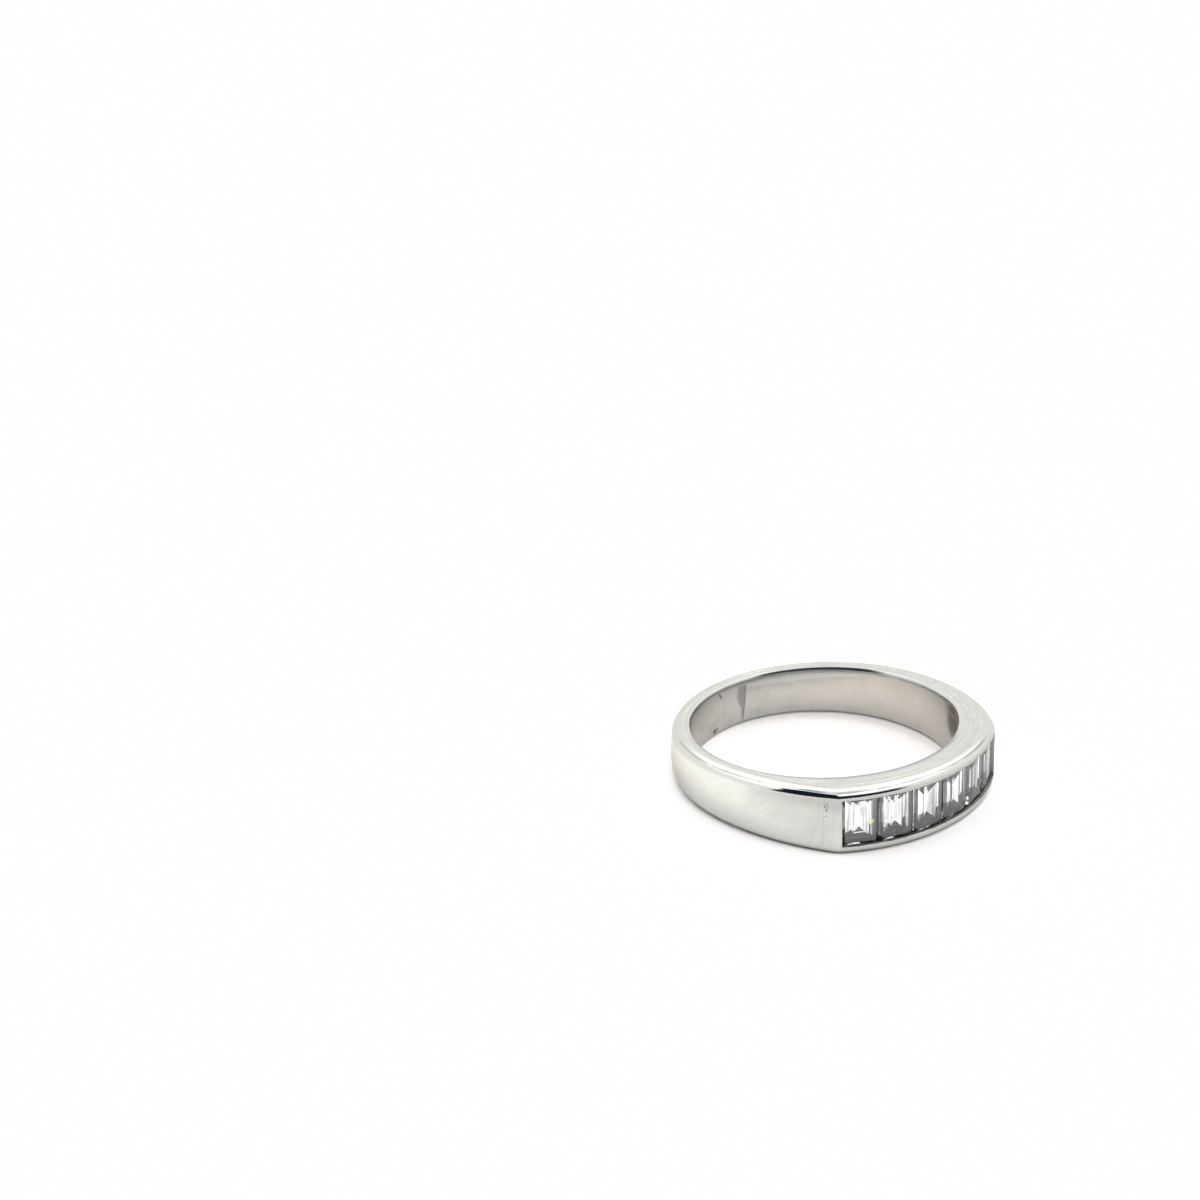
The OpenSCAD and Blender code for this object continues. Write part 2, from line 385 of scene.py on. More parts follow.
def wear_outside(place, z):
    """Depth and grime of the wear at a distance along the outside from the -X corner and a height."""
    if not WORN_OUTSIDE[0] < place < WORN_OUTSIDE[1]:
        return 0.0, 0.0
    lean = (SEAM_FOOT[0] - SEAM_TOP[0]) / (SEAM_FOOT[1] - SEAM_TOP[1])
    seam = blob(place - SEAM_TOP[0] - lean * (z - SEAM_TOP[1]), SEAM_HALF)
    depth, grime = SEAM_DEPTH * seam, SEAM_GRIME * seam
    for at, height, radius, deep in PITS:
        pit = blob(math.hypot(place - at, z - height), radius)
        depth, grime = depth + deep * pit, max(grime, pit)
    return depth, grime


def wear_inside(angle, z):
    """Depth, grime and dullness of the wear at an angle and a height on the bore's wall."""
    degrees = math.degrees(angle) % 360
    if not WORN_INSIDE[0] < degrees < WORN_INSIDE[1]:
        return 0.0, 0.0, 0.0
    past_seam = degrees - math.degrees(INNER_SEAM_A) - INNER_SEAM_LEAN * z
    seam = blob(math.radians(past_seam) * BORE_R, SEAM_HALF)
    depth, grime = SEAM_DEPTH * seam, INNER_SEAM_GRIME * seam
    for at, height, radius, deep in NICKS:
        nick = blob(math.hypot(math.radians(degrees - at) * BORE_R, z - height), radius)
        depth, grime = depth + deep * nick, max(grime, nick)
    wide = PATCH_LOW_W + (PATCH_W - PATCH_LOW_W) * rise(z - PATCH_FOOT - 0.5, 6)
    dull = rise(past_seam, 8) * rise(wide - past_seam, 4) * rise(z - PATCH_FOOT + 0.4, 9)
    return depth, grime, dull


def waves(place, mean, *parts):
    """Sine waves round a mean, each as (height, turn for each mm, turn at the start)."""
    return sum((high * math.sin(per_mm * place + start) for high, per_mm, start in parts), mean)


def ridge(beside, place):
    """Height of the ridges at a distance from the rounding. They fade in and out along the ring."""
    strength = waves(place, 0.55, (0.3, 0.35, 1), (0.15, 1.7, 0))
    return strength * sum(high * blob(beside - at, half) for at, high, half in RIDGES)


def half_profile(outer, inner, place, side):
    """One half of a station's profile, from beside the middle of the bore's wall to the outside, as
    (distance from the bore, height). With it come the thickness, the dome of the outside, its half
    width and the half width of its flat part."""
    thick = np.linalg.norm(outer - inner)
    step = (outer[0] - inner[0]) / thick
    angle = math.atan2(outer[1], outer[0])
    edge, dome = edge_of(angle, side), BACK_DOME * backness(angle)
    bore_edge_h = bore_edge_of(angle, side)

    def side_h(d):
        return half_w(inner[0] + step * d)

    points = []
    wall_top = side_h(0) - bore_edge_h
    for i in range(1, INNER_STEPS // 2 + 1):
        share = i / (INNER_STEPS // 2)
        points.append((WALL_BULGE * share**2, wall_top * share))
    for i in range(1, BORE_EDGE_STEPS + 1):
        turn = math.pi / 2 * i / BORE_EDGE_STEPS
        d = WALL_BULGE + (BORE_EDGE_W - WALL_BULGE) * (1 - math.cos(turn))
        points.append((d, side_h(d) - bore_edge_h * (1 - math.sin(turn))))
    wide = side_h(thick)
    flat = wide - edge
    rim = thick - dome * (flat / wide) ** 2 - edge
    for i in range(SIDE_STEPS):
        d = BORE_EDGE_W + (i + 0.5) / SIDE_STEPS * (rim - BORE_EDGE_W)
        points.append((d, side_h(d) + ridge(rim - d, place) - ridge(0, place)))
    for turn in EDGE_TURNS:
        sunk = LINE_DEPTH * blob(turn - LINE_TURN, LINE_HALF)
        d = rim + (edge - sunk) * math.sin(turn)
        points.append((d, side_h(d) - edge + (edge - sunk) * math.cos(turn)))
    return [(d, side * z) for d, z in points], thick, dome, wide, flat


def ragged(place, side):
    """How far the hand-worked lip of the channel strays from a straight line."""
    return waves(place, 0.0, (0.009, 2.3, side), (0.007, 6.1, 0), (0.005, 14, 2 * side))


def strip_end(outer, flat, place, side):
    """Height, from the middle, at which the strip of rows that the channel cuts ends: on the lip along
    the head, and in line with it round the shank."""
    lip = MOUTH_W / 2 + LIP - side * MOUTH_DROP
    if outer[0] > corner(1)[0] - 1e-6:
        return lip + ragged(place, side)
    full = half_w(corner(1)[0]) - HEAD_EDGE[side]
    return lip / full * min(flat, full)


def strip_heights(top, foot, place):
    """Heights of the strip's points, closer together beside the pits."""
    even = np.linspace(0, 1, STRIP)
    shares, heights = zip((0, top), *PIT_ROWS, (1, foot))
    drawn = np.interp(even, shares, [(top - height) / (top - foot) for height in heights])
    beside = max(0.0, 1 - max(0.0, abs(place - PITS_AT) - PITS_HALF) / PITS_FADE)
    return top - (even + (drawn - even) * beside) * (top - foot)


def full_profile(outer, inner, place):
    """A closed station's profile round the metal, as rows of (distance from the bore, height, grime,
    dullness), and the number of the strip's first row."""
    upper, thick, dome, wide, flat = half_profile(outer, inner, place, 1)
    lower, *_, low_flat = half_profile(outer, inner, place, -1)
    top = strip_end(outer, flat, place, 1)
    foot = -strip_end(outer, low_flat, place, -1)
    angle = math.atan2(inner[1], inner[0])

    def inside(d, z):
        depth, grime, dull = wear_inside(angle, z)
        return d + depth, z, grime, dull

    def outside(z):
        depth, grime = wear_outside(place, z)
        return thick - dome * (z / wide) ** 2 - depth, z, grime, 0.0

    # The wear of the bore's wall reaches two rows into its edge
    def half(points):
        wall = INNER_STEPS // 2 + 2
        return [inside(*p) for p in points[:wall]] + [(*p, 0.0, 0.0) for p in points[wall:]]

    rail = [outside(z) for z in np.linspace(flat, top, RAIL_STEPS + 1)[1:-1]]
    low_rail = [outside(z) for z in np.linspace(foot, -low_flat, RAIL_STEPS + 1)[1:-1]]
    strip = [outside(z) for z in strip_heights(top, foot, place)]
    start = 1 + len(upper) + len(rail)
    return [inside(0.0, 0.0)] + half(upper) + rail + strip + low_rail + half(lower)[::-1], start


# The looks of the bore's wall fade out over 1 / WALL_FADE of the rounding beside it
WALL_FADE = 2.2
# The looks of the outside start at this turn of the outer rounding
OUTSIDE_TURN = 1.15
# The first rows of a side face have this share of the looks of the bore's edge
BESIDE_BORE_EDGE = [1.0, 1.0, 0.7, 0.3]


def zone_weights():
    """How far each row of a closed profile counts as the bore's wall, as a flat side face, as the
    outside, as the edge round the bore and as the polishing line."""
    bore_steps = range(1, BORE_EDGE_STEPS + 1)
    no_wall, no_side, no_edge = [0.0] * (INNER_STEPS // 2), [0.0] * SIDE_STEPS, [0.0] * len(EDGE_TURNS)
    no_bore = no_wall + [0.0] * BORE_EDGE_STEPS
    wall = [1.0] * len(no_wall) + [max(0.0, 1 - WALL_FADE * i / BORE_EDGE_STEPS) for i in bore_steps]
    # A side face's looks and those of the bore's edge come and go over a few rows
    level = [min(1.0, (i + 1) / 4, (SIDE_STEPS - i) / 3) for i in range(SIDE_STEPS)]
    edge = [max(0.0, (turn - OUTSIDE_TURN) / (math.pi / 2 - OUTSIDE_TURN)) for turn in EDGE_TURNS]
    beside = BESIDE_BORE_EDGE + no_side[len(BESIDE_BORE_EDGE):]
    rim = no_wall + [min(1.0, i / 4) for i in bore_steps] + beside
    line = [blob(turn - LINE_TURN, LINE_HALF) for turn in EDGE_TURNS]
    outside_rows = 2 * (RAIL_STEPS - 1) + STRIP
    # As (weight at the middle of the wall, weights from there to the outside, weight on the outside)
    zones = (
        (1.0, wall + no_side + no_edge, 0.0),
        (0.0, no_bore + level + no_edge, 0.0),
        (0.0, no_bore + no_side + edge, 1.0),
        (0.0, rim + no_edge, 0.0),
        (0.0, no_bore + no_side + line, 0.0),
    )
    return [[middle] + half + [outside] * outside_rows + half[::-1] for middle, half, outside in zones]


def placed(outer, inner, rows):
    """Points of a profile's rows in the band's frame."""
    out = (outer - inner) / np.linalg.norm(outer - inner)
    d, z = np.array([row[:2] for row in rows]).T
    along = inner[0] + out[0] * d
    across = inner[1] + out[1] * d
    return np.stack([across, -along, z], axis=1)


def channel_rows(base, place):
    """The channel's profile at a station, as (distance from the bore, height), with its uneven lip."""
    rows = []
    for r, z in CHANNEL:
        side = math.copysign(1, z)
        stray = ragged(place, side) if abs(z) > UNEVEN_FROM else 0.0
        rows.append((r - base, z + stray * side))
    return rows


# What each point of the band carries for the material, from 0 to 1
MARKS = ("bore_wall", "side_face", "outer_face", "bore_edge", "polish_line", "channel", "grime", "dull")
# Painted shade with some dirt along the channel's lip, put in the grime mark, and the depths between which
# it lies, as shares of the lip's rounding
LIP_SHADE_AND_DIRT, LIP_SHADE_DEPTHS = 0.8, (0.2, 1.5)
# Edges sharper than this aren't smoothed
SHARP_A = math.radians(30)


def build_band():
    """The band as one closed mesh: a loft through the stations, with the channel's rows in place of the
    outside's strip between the ends of the slot."""
    outer, inner, slot = plan_stations()
    places = lengths(outer)
    places -= places[np.linalg.norm(outer - corner(-1), axis=1).argmin()]
    bm = bmesh.new()
    marks = [bm.verts.layers.float.new(name) for name in MARKS]

    def vertex(point, *values):
        made = bm.verts.new(point)
        for layer, value in zip(marks, values):
            made[layer] = value
        return made

    weights = list(zip(*zone_weights()))
    grid, cut = [], {}
    for k, (out, bore) in enumerate(zip(outer, inner)):
        rows, start = full_profile(out, bore, places[k])
        grid.append([
            vertex(point, *weights[j], 0.0, *rows[j][2:])
            for j, point in enumerate(placed(out, bore, rows))
        ])
        if slot[0] <= k <= slot[1]:
            channel = placed(out, bore, channel_rows(np.linalg.norm(bore - BOW_C), places[k]))
            cut[k] = list(grid[k])
            for j in range(1, STRIP - 1):
                lips_down = (BOW_R - CHANNEL[j][0]) / LIP
                deep = min(1.0, lips_down)
                # Painted shade with some dirt along the lip's rounding inside the slot
                lip_shade_and_dirt = LIP_SHADE_AND_DIRT if LIP_SHADE_DEPTHS[0] < lips_down < LIP_SHADE_DEPTHS[1] and k not in slot else 0.0
                cut[k][start + j] = vertex(channel[j], 0.0, 0.0, 1 - deep, 0.0, 0.0, deep, lip_shade_and_dirt, 0.0)

    for k in range(len(grid)):
        following = (k + 1) % len(grid)
        a, b = (cut[k], cut[following]) if slot[0] <= k < slot[1] else (grid[k], grid[following])
        for j in range(len(a)):
            up = (j + 1) % len(a)
            bm.faces.new([a[j], a[up], b[up], b[j]])
    # Inside the slot the outside's own points are spare. At its ends they bound the end walls
    for k in range(slot[0] + 1, slot[1]):
        for j in range(1, STRIP - 1):
            bm.verts.remove(grid[k][start + j])
    for k, flip in ((slot[0], False), (slot[1], True)):
        loop = [grid[k][start + j] for j in range(STRIP)]
        loop += [cut[k][start + j] for j in range(STRIP - 2, 0, -1)]
        bm.faces.new(loop[::-1] if flip else loop)

    bm.transform(Matrix.Scale(MM, 4) @ REST)
    bmesh.ops.recalc_face_normals(bm, faces=bm.faces)
    mesh = bpy.data.meshes.new("band_metal")
    bm.to_mesh(mesh)
    bm.free()
    band = bpy.data.objects.new("band_metal", mesh)
    bpy.context.scene.collection.objects.link(band)
    mesh.shade_smooth()
    mesh.set_sharp_from_angle(angle=SHARP_A)
    return band


class Graph:
    """Adds nodes to a node tree. Its methods give back outputs of the nodes that they add."""

    def __init__(self, tree):
        self.nodes, self.links = tree.nodes, tree.links

    def add(self, kind, values=(), output=0, **settings):
        node = self.nodes.new(kind)
        for name, value in settings.items():
            setattr(node, name, value)
        for key, value in (values.items() if isinstance(values, dict) else enumerate(values)):
            self.put(node.inputs[key], value)
        return node.outputs[output]

    def put(self, socket, value):
        if isinstance(value, bpy.types.NodeSocket):
            self.links.new(value, socket)
        else:
            socket.default_value = value

    def math(self, kind, *values):
        return self.add("ShaderNodeMath", values, operation=kind)

    def total(self, *values):
        return functools.reduce(lambda a, b: self.math("ADD", a, b), values)

    def product(self, *values):
        return functools.reduce(lambda a, b: self.math("MULTIPLY", a, b), values)

    def part(self, weight, *effects):
        """Sum of effects, each as (effect, amount), times a weight."""
        return self.product(self.total(*(self.product(*effect) for effect in effects)), weight)

    def vector(self, x, y, z):
        return self.add("ShaderNodeCombineXYZ", (x, y, z))

    def vector_math(self, kind, a, b, output="Vector"):
        return self.add("ShaderNodeVectorMath", (a, b), output, operation=kind)

    def position(self):
        """Place of a point in mm, as a vector and as its three coordinates."""
        coords = self.add("ShaderNodeTexCoord", output="Object")
        place = self.add("ShaderNodeVectorMath", {0: coords, "Scale": 1 / MM}, operation="SCALE")
        return place, *(self.add("ShaderNodeSeparateXYZ", (place,), axis) for axis in "XYZ")

    def ramp(self, value, low, high, to_low=0.0, to_high=1.0):
        """Smooth change from to_low to to_high while a value goes from low to high."""
        values = {"Value": value, "From Min": low, "From Max": high, "To Min": to_low, "To Max": to_high}
        return self.add("ShaderNodeMapRange", values, interpolation_type="SMOOTHSTEP")

    def noise(self, place, scale, detail=2.0, roughness=0.5, distortion=0.0):
        """Noise of about -1 to 1."""
        values = {"Vector": place, "Scale": scale, "Detail": detail, "Roughness": roughness}
        found = self.add("ShaderNodeTexNoise", {**values, "Distortion": distortion})
        return self.math("MULTIPLY_ADD", found, 4.0, -2.0)

    def streaks(self, coordinates, scales, detail=2.0, roughness=0.6):
        """Noise of about -1 to 1 that is drawn out, because each coordinate has its own scale."""
        scaled = self.vector_math("MULTIPLY", self.vector(*coordinates), scales)
        return self.noise(scaled, 1.0, detail, roughness)

    def blend(self, factor, a, b):
        """Colour between two others. A mix node's third output is its colour, inputs 6 and 7 take two."""
        values = {"Factor": factor, 6: a, 7: b}
        return self.add("ShaderNodeMix", values, output=2, data_type="RGBA")

    def layered(self, base, *layers):
        """A colour under others, each as (weight, colour)."""
        for weight, colour in layers:
            base = self.blend(weight, base, colour)
        return base

    def mark(self, name):
        return self.add("ShaderNodeAttribute", output="Fac", attribute_name=name)


def new_material(name):
    material = bpy.data.materials.new(name)
    material.use_nodes = True
    return material, material.node_tree.nodes["Principled BSDF"], Graph(material.node_tree)


# Colours of the metal: at its darkest and lightest, and at a glancing angle
METAL_DARK, METAL_LIGHT = (0.463, 0.466, 0.438, 1), (0.668, 0.678, 0.652, 1)
METAL_GLANCING = (0.8, 0.79, 0.76, 1)
# Warm tints of the outside, of clouds on the bore's wall and of the wall's +X half
OUTSIDE_TINT, CLOUD_TINT, WALL_TINT = (0.62, 0.58, 0.55, 1), (0.56, 0.52, 0.48, 1), (0.64, 0.585, 0.53, 1)
# What lies on the metal: dull patch, painted shade and dirt in the channel, painted shade on the bore's
# edge and line, painted brown shade, grime and painted lip shade
DULL_PATCH, CHANNEL_SHADE_AND_DIRT = (0.27, 0.268, 0.262, 1), (0.3, 0.28, 0.25, 1)
PAINTED_EDGE_SHADE, PAINTED_LINE_SHADE = (0.36, 0.375, 0.385, 1), (0.3, 0.305, 0.31, 1)
BROWN_PAINTED_SHADE, GRIME_AND_LIP_SHADE = (0.17, 0.14, 0.125, 1), (0.05, 0.045, 0.042, 1)
# Places where looks change, as (where the change starts, where it ends), in mm along an axis.
# Outside: filed and a little darker near the head, painted shade along the top, lighter to the back,
# painted light low down, warmer
FILED_Y, SHADE_Y, SHADE_Z = (-6.0, -7.4), (-1.5, -5.5), (2.5, 3.5)
LIGHT_Y, LOW_PAINTED_LIGHT_Z, WARM_Y = (-7.5, 0.0), (2.4, 0.5), (-4.5, 1.0)
# Bore's wall: lighter and warmer toward +X, with painted shade at the top
WALL_LIGHT_X, WALL_WARM_X, WALL_TOP_SHADE_Z = (3.0, 7.0), (2.5, 7.5), (2.4, 3.4)
# Bore's edge and polishing line: painted shade toward the head's -X end, and a little toward the back's +X
# side, along x + y
RIM_SHADE_NEAR, RIM_SHADE_FAR = (-2.0, -6.0), (3.0, 9.0)
# Painted brown shade high on the bore's wall: its middle, how far from there it fades out, and where it
# does so at its foot and, on the bore's edge, at its top
BROWN_SHADE_AT = (6.22, -5.8, 3.4)
BROWN_SHADE_REACH, BROWN_SHADE_FOOT_Z, BROWN_SHADE_TOP_Z = (2.9, 2.0), (1.2, 2.2), (3.85, 3.5)
# Brush marks on the outside climb toward the head by this much for each mm
BRUSH_CLIMB = 0.8
# Depth of the fine relief, in mm
RELIEF = 0.002


def metal_patterns(g):
    """The coordinates, marks and noises that the looks of the metal are made of. Scales are for mm."""
    place, x, y, z = g.position()
    look = SimpleNamespace(place=place, x=x, y=y, z=z, **{name: g.mark(name) for name in MARKS})
    climb = g.math("MULTIPLY_ADD", y, BRUSH_CLIMB, z)
    run = g.math("MULTIPLY_ADD", z, -BRUSH_CLIMB, y)
    look.broad = g.streaks((climb, run, x), (2.2, 0.3, 1.0), 3.0)
    look.fine = g.streaks((climb, run, x), (14.0, 0.7, 1.0))
    look.upright = g.streaks((y, z, x), (9.0, 0.5, 1.0))
    look.grain = g.streaks((x, y, z), (3.0, 3.0, 14.0))
    # Lines on the side faces follow the bore
    radius = g.math("SQRT", g.total(g.product(x, x), g.product(y, y)))
    look.lines = g.streaks((radius, x, y), (6.5, 0.12, 0.12), 3.0, 0.7)
    look.smudge = g.noise(place, 0.45, 3.0, 0.55, 0.4)
    look.cloud = g.noise(place, 0.6, 4.0, 0.6, 0.5)
    look.blots = g.noise(place, 1.7, 3.0, 0.6, 0.3)
    return look


def metal_tone(g, look):
    """How light the clean metal is, from 0 to 1."""
    filed = g.ramp(look.y, *FILED_Y)
    shaded = g.product(g.ramp(look.z, *SHADE_Z), g.ramp(look.y, *SHADE_Y))
    to_back, low = g.ramp(look.y, *LIGHT_Y), g.ramp(look.z, *LOW_PAINTED_LIGHT_Z)
    to_right, high = g.ramp(look.x, *WALL_LIGHT_X), g.ramp(look.z, *WALL_TOP_SHADE_Z)
    return g.total(
        g.part(look.outer_face, (look.broad, 0.12), (look.fine, 0.12), (look.smudge, 0.13)),
        g.part(g.product(look.outer_face, filed), (look.upright, 0.16)),
        g.part(look.side_face, (look.lines, 0.3), (look.broad, 0.12)),
        g.part(look.bore_wall, (look.cloud, 0.5), (look.blots, 0.25), (look.grain, 0.15)),
        # Lighter toward the back, a little darker near the head, painted shade along the top beside the
        # corner and painted light low down
        g.part(look.outer_face, (to_back, 0.49), (filed, -0.12), (shaded, -0.5), (low, 0.6)),
        # Bore's wall: lighter toward +X, with painted shade at the top
        g.part(look.bore_wall, (to_right, 0.35), (high, -0.35)),
        g.product(look.bore_wall, 0.1),
        0.48,
    )


def metal_colour(g, look):
    """Tone and tints of the clean metal, and over them, from the faintest on, marks of use and painted
    shade.
    """
    warm = g.product(g.ramp(look.smudge, -0.2, 1.0), g.ramp(look.y, *WARM_Y))
    clouds = g.ramp(look.cloud, -0.8, 1.2, 0.1, 0.6)
    to_right = g.ramp(look.x, *WALL_WARM_X, 0.0, 0.45)
    across = g.total(look.x, look.y)
    # Painted shade on the bore's edge and polishing line, along x + y
    rim_shade = g.total(g.ramp(across, *RIM_SHADE_NEAR), g.ramp(across, *RIM_SHADE_FAR, 0.0, 0.35))
    line_shade = g.product(rim_shade, g.ramp(look.smudge, -0.8, 0.6, 0.4, 1.0))
    # Painted brown shade, high on the bore's wall and on its edge
    on_wall = g.product(look.bore_wall, g.ramp(look.z, *BROWN_SHADE_FOOT_Z))
    on_edge = g.product(look.bore_edge, g.ramp(look.z, *BROWN_SHADE_TOP_Z))
    from_brown_shade = g.vector_math("DISTANCE", look.place, BROWN_SHADE_AT, "Value")
    brown_shade = g.product(g.ramp(from_brown_shade, *BROWN_SHADE_REACH), g.math("MAXIMUM", on_wall, on_edge))
    speckled = g.ramp(g.noise(look.place, 9.0), -1.2, 0.4, 0.4, 1.0)
    return g.layered(
        g.blend(metal_tone(g, look), METAL_DARK, METAL_LIGHT),
        (g.product(warm, 0.5), OUTSIDE_TINT),
        (g.product(look.bore_wall, clouds), CLOUD_TINT),
        (g.product(look.bore_wall, to_right), WALL_TINT),
        (g.product(look.dull, 0.75), DULL_PATCH),
        # Painted shade with some dirt in the channel
        (g.product(look.channel, 0.35), CHANNEL_SHADE_AND_DIRT),
        # Painted shade on the bore's edge, and on the polishing line broken up by the smudges
        (g.product(look.bore_edge, rim_shade), PAINTED_EDGE_SHADE),
        (g.product(look.polish_line, line_shade), PAINTED_LINE_SHADE),
        (g.product(brown_shade, 0.8), BROWN_PAINTED_SHADE),
        # Grime at the seams, pits and nicks, and painted shade with some dirt along the channel's lip
        (g.product(look.grime, speckled), GRIME_AND_LIP_SHADE),
    )


def metal_roughness(g, look):
    return g.total(
        g.product(look.bore_wall, g.ramp(look.cloud, -1.0, 1.0, 0.24, 0.34)),
        g.product(look.outer_face, g.ramp(look.broad, -1.0, 1.0, 0.05, 0.13)),
        g.product(look.channel, 0.4),
        g.product(look.bore_edge, 0.16),
        g.product(look.side_face, g.ramp(look.lines, -1.0, 1.0, 0.03, 0.12)),
        g.product(look.grime, 0.4),
        0.055,
    )


def metal_material():
    """White metal: satin bore, brushed outside, finely lined side faces and polished roundings."""
    material, shader, g = new_material("white_metal_worn")
    shader.inputs["Metallic"].default_value = 1
    shader.inputs["Specular Tint"].default_value = METAL_GLANCING
    look = metal_patterns(g)
    g.put(shader.inputs["Base Color"], metal_colour(g, look))
    g.put(shader.inputs["Roughness"], metal_roughness(g, look))
    relief = g.total(
        g.part(look.outer_face, (look.fine, 1.0), (look.broad, 0.5)),
        g.part(look.side_face, (look.lines, 0.7), (look.broad, 0.5)),
        g.part(look.bore_wall, (look.grain, 0.6), (look.cloud, 0.6)),
    )
    bump = g.add("ShaderNodeBump", {"Strength": 1.0, "Distance": RELIEF * MM, "Height": relief})
    g.put(shader.inputs["Normal"], bump)
    return material


# Clear stone: refractive index of diamond, its faint tint and the colour of the painted stripes of shade in
# it
DIAMOND_IOR = 2.417
STONE_CLEAR, STONE_TINT = (1, 1, 1, 1), (0.95, 0.985, 0.965, 1)
PAINTED_STRIPE_SHADE = (0.22, 0.25, 0.24, 1)
# Painted shade on the steps toward +X, which look into the seam beside them: where it starts and where it
# is full, as shares of the stone's width
SEAM_SIDE = (0.745, 0.795)
SEAM_PAINTED_SHADE = (0.013, 0.017, 0.015, 1)
# Painted spots of coloured fire, where a stone throws fire toward the camera, as (middle in mm, radius,
# colour). The colour is full within this share of the radius
FIRE_CORE = 0.6
PAINTED_FIRE = (
    ((-5.15, -9.20, 1.96), 0.16, (0.45, 1.0, 0.05, 1)),
    ((-4.22, -9.61, 1.65), 0.14, (1.0, 0.42, 0.25, 1)),
    ((-6.59, -8.33, 1.25), 0.14, (1.0, 0.45, 0.3, 1)),
    ((-1.02, -10.36, 1.17), 0.13, (1.0, 0.7, 0.6, 1)),
)


def stone_material():
    """Clear diamond with a faint tint, and painted into its colour stripes of shade, shade on the +X side
    of each stone and spots of fire.
    It is polished but for traces of polishing lines."""
    material, shader, g = new_material("clear_stone_cut")
    shader.inputs["IOR"].default_value = DIAMOND_IOR
    shader.inputs["Transmission Weight"].default_value = 1
    place, x, y, z = g.position()
    cloud = g.noise(place, 0.9, 3.0, 0.6)
    # How many widths of a stone a point is from the slot's -X end, and its share of its own stone's
    ahead = g.math("MULTIPLY_ADD", y, -1.0, -BOW_C[0])
    count = g.math("MULTIPLY_ADD", g.math("ARCTAN2", x, ahead), 1 / STONE_A, SLOT_A / STONE_A)
    share = g.math("FRACT", count)
    # Painted stripes of shade across each stone
    painted_stripes = g.streaks((count, 0.0, z), (11.0, 1.0, 0.2), roughness=0.5)
    # Painted spots of fire in the stones' colour
    painted_fire = []
    for at, size, colour in PAINTED_FIRE:
        away = g.vector_math("DISTANCE", place, at, "Value")
        painted_fire.append((g.ramp(away, size, FIRE_CORE * size), colour))
    base = g.layered(
        STONE_CLEAR,
        (g.ramp(cloud, -1.0, 1.0), STONE_TINT),
        (g.ramp(painted_stripes, 0.15, 0.8, 0.0, 0.9), PAINTED_STRIPE_SHADE),
        # Painted shade on each stone's +X side
        (g.ramp(share, *SEAM_SIDE), SEAM_PAINTED_SHADE),
        *painted_fire,
    )
    g.put(shader.inputs["Base Color"], base)
    lines = g.streaks((x, y, z), (9.0, 9.0, 0.8), roughness=0.5)
    g.put(shader.inputs["Roughness"], g.ramp(lines, 0.2, 1.6, 0.0, 0.02))
    return material


# White floor: its size in metres and its colour
FLOOR_SIZE = 6
FLOOR_COLOUR = (0.96, 0.944, 0.934, 1)


def build_floor():
    bpy.ops.mesh.primitive_plane_add(size=FLOOR_SIZE, location=(0, 0, 0))
    floor = bpy.context.object
    floor.name = "floor"
    material, shader, _ = new_material("floor_white")
    shader.inputs["Base Color"].default_value = FLOOR_COLOUR
    shader.inputs["Roughness"].default_value = 0.9
    shader.inputs["Specular IOR Level"].default_value = 0.0
    floor.data.materials.append(material)


# Camera, from the fit to the photo: its place, its right and up directions, and its lens and sensor,
# in mm. What it sees starts and ends at these distances in metres
CAMERA_AT = (-83.722, -81.361, 61.469)
CAMERA_RIGHT = (0.771819, -0.635278, -0.026785)
CAMERA_UP = (0.266457, 0.284904, 0.920777)
CAMERA_LENS, SENSOR = 60.0, 36.0
CLIP_START, CLIP_END = 0.005, 50


def build_camera():
    data = bpy.data.cameras.new("camera")
    data.sensor_width = data.sensor_height = SENSOR
    data.lens = CAMERA_LENS
    data.clip_start, data.clip_end = CLIP_START, CLIP_END
    camera = bpy.data.objects.new("camera", data)
    right = Vector(CAMERA_RIGHT).normalized()
    up = Vector(CAMERA_UP)
    up = (up - up.project(right)).normalized()
    turn = Matrix((right, up, right.cross(up))).transposed().to_4x4()
    camera.matrix_world = Matrix.Translation(Vector(CAMERA_AT) * MM) @ turn
    bpy.context.scene.collection.objects.link(camera)
    bpy.context.scene.camera = camera


# Light of the room, as radiance low, high and overhead, and the heights in degrees between which it changes
SKY_LOW, SKY_HIGH, SKY_TOP = 1.28, 1.85, 1.3
SKY_RISE, SKY_FALL = (24, 48), (66, 76)
# The dark shape on the camera's side, in degrees: how far it reaches to the left and right of the
# camera, its foot, its top straight over the camera, and how much the top falls for each degree to
# the right. From LEAN_FROM up its left side leans out, by LEAN for each degree. It starts above the
# horizon so that views from 15 degrees up don't show it behind the ring
DARK_LEFT, DARK_RIGHT, DARK_FOOT = 52, 58, 3.5
DARK_TOP, DARK_SLOPE = 42, 0.33
LEAN_FROM, LEAN = 30, 0.55
DARK_COLOUR = (0.012, 0.022, 0.05, 1)
# Degrees before and after each of its sides between which it fades
FADE_LEFT, FADE_RIGHT, FADE_FOOT, FADE_TOP = (-2, 1.5), (-6, 6), (-1, 1), (-4, 10)


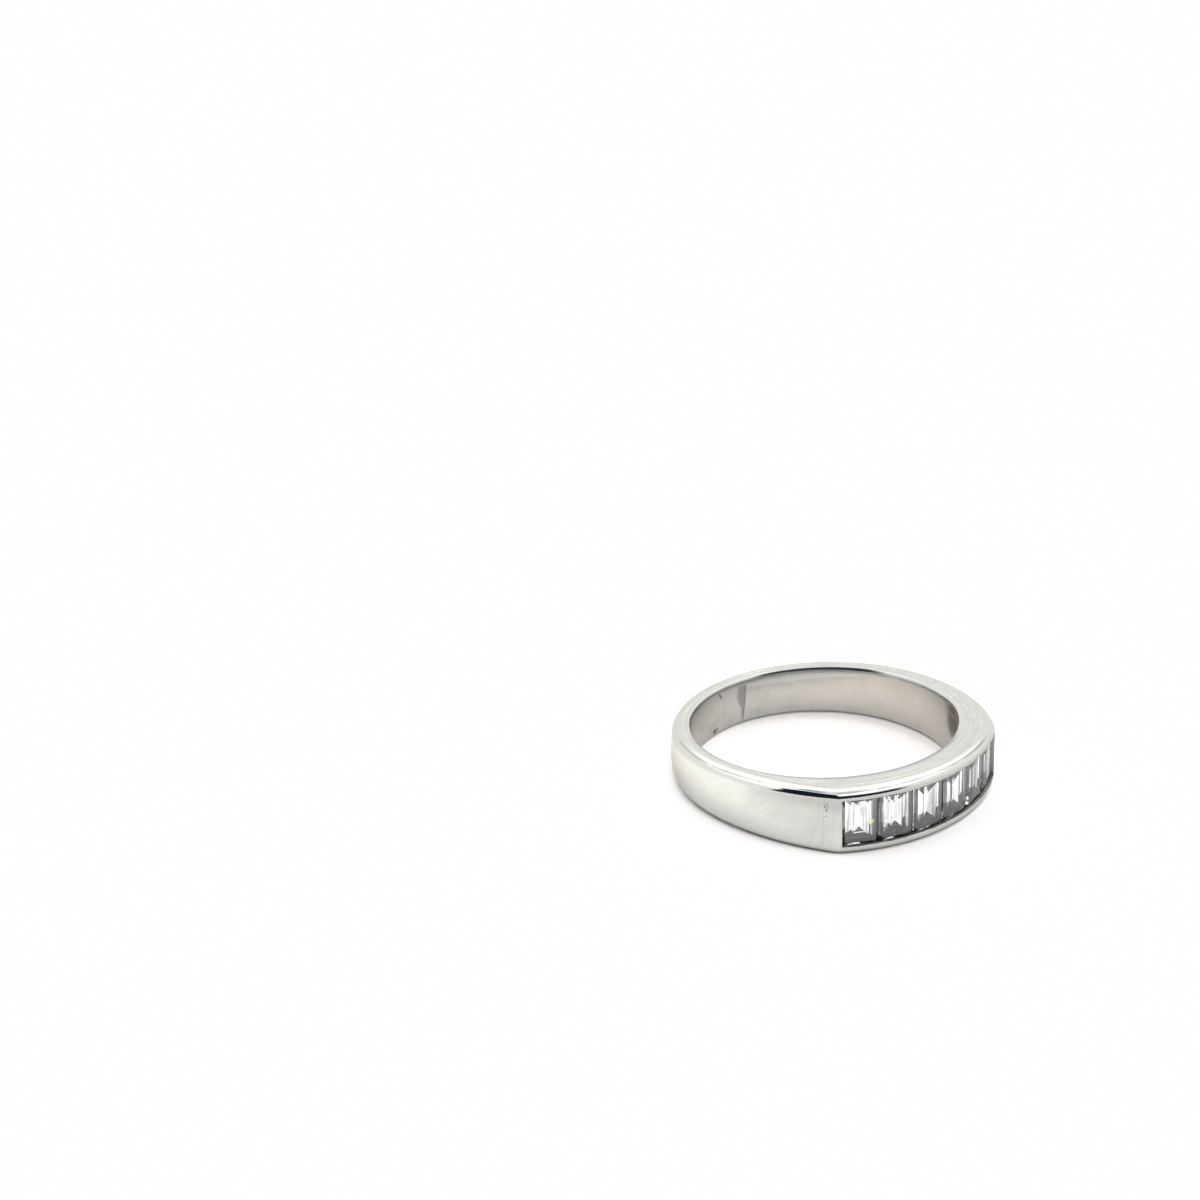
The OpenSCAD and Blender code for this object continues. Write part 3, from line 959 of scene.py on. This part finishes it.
def build_world():
    """A soft white room, with a dark shape that is highest to the left of the camera."""
    world = bpy.data.worlds.new("studio")
    bpy.context.scene.world = world
    world.use_nodes = True
    g = Graph(world.node_tree)
    coords = g.add("ShaderNodeTexCoord", output="Generated")
    ahead = Vector((CAMERA_AT[0], CAMERA_AT[1], 0)).normalized()
    beside = Vector((-ahead.y, ahead.x, 0))

    def along(direction):
        return g.vector_math("DOT_PRODUCT", coords, direction, "Value")

    def edge(value, at, fade, *ends):
        return g.ramp(value, at + fade[0], at + fade[1], *ends)

    # Degrees round from the camera, positive toward its right, and degrees up
    turn = g.math("DEGREES", g.math("ARCTAN2", along(beside), along(ahead)))
    up = g.math("DEGREES", g.math("ARCSINE", g.add("ShaderNodeSeparateXYZ", (coords,), "Z")))
    sky = g.total(g.ramp(up, *SKY_RISE, SKY_LOW, SKY_HIGH), g.ramp(up, *SKY_FALL, 0.0, SKY_TOP - SKY_HIGH))
    top = g.math("MULTIPLY_ADD", turn, -DARK_SLOPE, DARK_TOP)
    lean = g.product(g.math("MAXIMUM", g.math("SUBTRACT", up, LEAN_FROM), 0.0), LEAN)
    below = edge(g.math("SUBTRACT", up, top), 0, FADE_TOP, 1.0, 0.0)
    above = edge(up, DARK_FOOT, FADE_FOOT)
    left = edge(g.total(turn, lean), -DARK_LEFT, FADE_LEFT)
    right = edge(turn, DARK_RIGHT, FADE_RIGHT, 1.0, 0.0)
    dark = g.product(below, above, left, right)
    background = world.node_tree.nodes["Background"]
    g.put(background.inputs["Color"], g.blend(dark, g.vector(sky, sky, sky), DARK_COLOUR))


# Points of the tone curve, which gives the photo's contrast
TONE_CURVE = ((0.25, 0.225), (0.7, 0.72), (0.86, 0.97))


def set_tone():
    view = bpy.context.scene.view_settings
    view.view_transform = "Standard"
    view.use_curve_mapping = True
    # The last curve is the one for all three colours
    for point in TONE_CURVE:
        view.curve_mapping.curves[3].points.new(*point)
    view.curve_mapping.update()


def set_bounces():
    """Few bounces, because with more the stones come out busier than in the photo."""
    cycles = bpy.context.scene.cycles
    cycles.max_bounces, cycles.glossy_bounces, cycles.transmission_bounces = 12, 4, 8


metal, clear = metal_material(), stone_material()

band = build_band()
band.data.materials.append(metal)
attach(band, "root")
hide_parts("band")
for number in range(1, STONE_COUNT + 1):
    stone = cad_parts[f"stone_{number}"]
    stone.data.materials.clear()
    stone.data.materials.append(clear)

build_floor()
build_camera()
build_world()
set_tone()
set_bounces()
